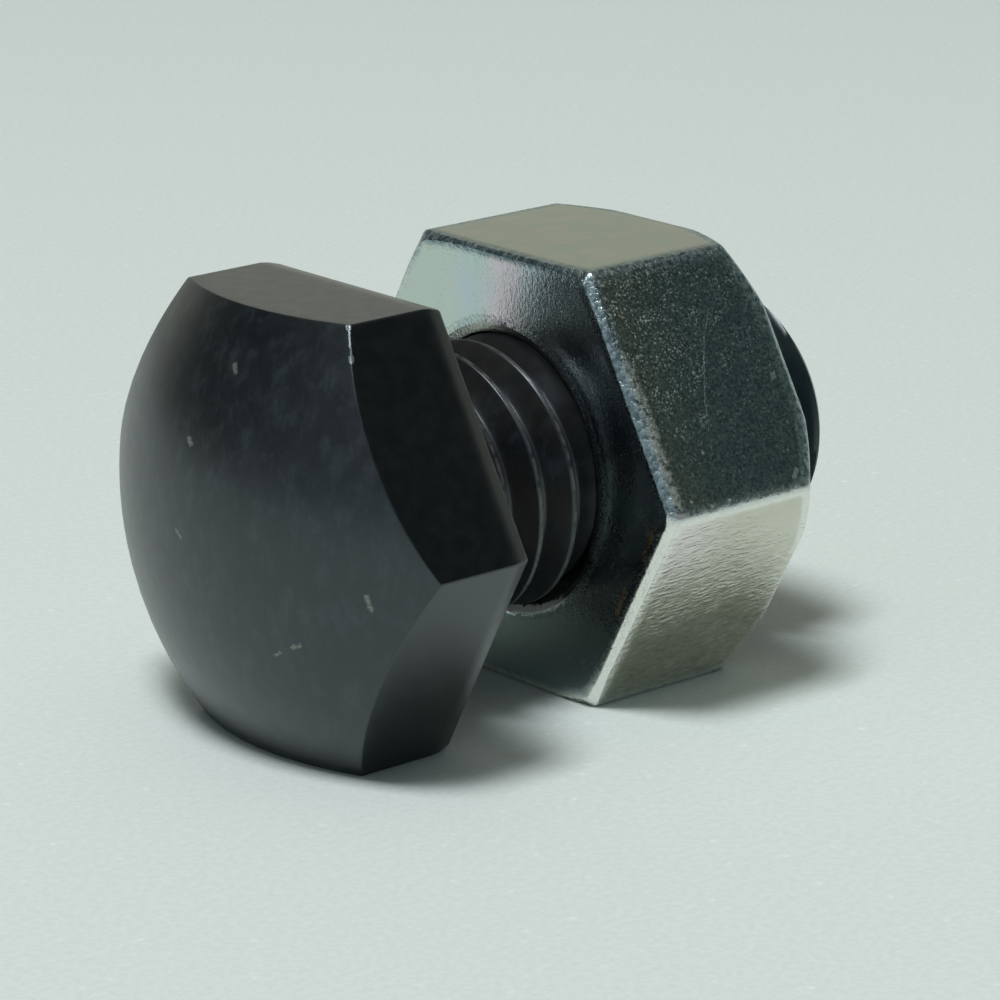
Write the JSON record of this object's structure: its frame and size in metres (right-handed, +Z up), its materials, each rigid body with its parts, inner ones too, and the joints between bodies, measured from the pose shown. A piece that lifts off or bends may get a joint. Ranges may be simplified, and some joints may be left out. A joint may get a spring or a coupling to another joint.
{
  "type": "locating bolt",
  "caption": "Locating bolt: domed hexagon head in blackened steel on a short coarse-threaded shank, with a zinc-plated hexagon lock nut.",
  "frame": {"origin": "bottom centre of the bounding box, on the floor under the middle of the part's length", "axes": "+X along the bolt's axis from the dome to the thread end, +Z up, one flat of each hexagon on the floor"},
  "size_m": [0.0206, 0.015, 0.013],
  "materials": {
    "black_steel": "black oxide, satin",
    "zinc_steel": "clear zinc plating, slightly iridescent"
  },
  "bodies": {
    "bolt": {"bolt": "black_steel"},
    "nut": {"nut": "zinc_steel"}
  },
  "joints": [
    {"name": "nut_travel", "type": "slide", "parent": "bolt", "child": "nut", "axis": [1, 0, 0], "range_m": [-0.005, 0.0075]}
  ]
}
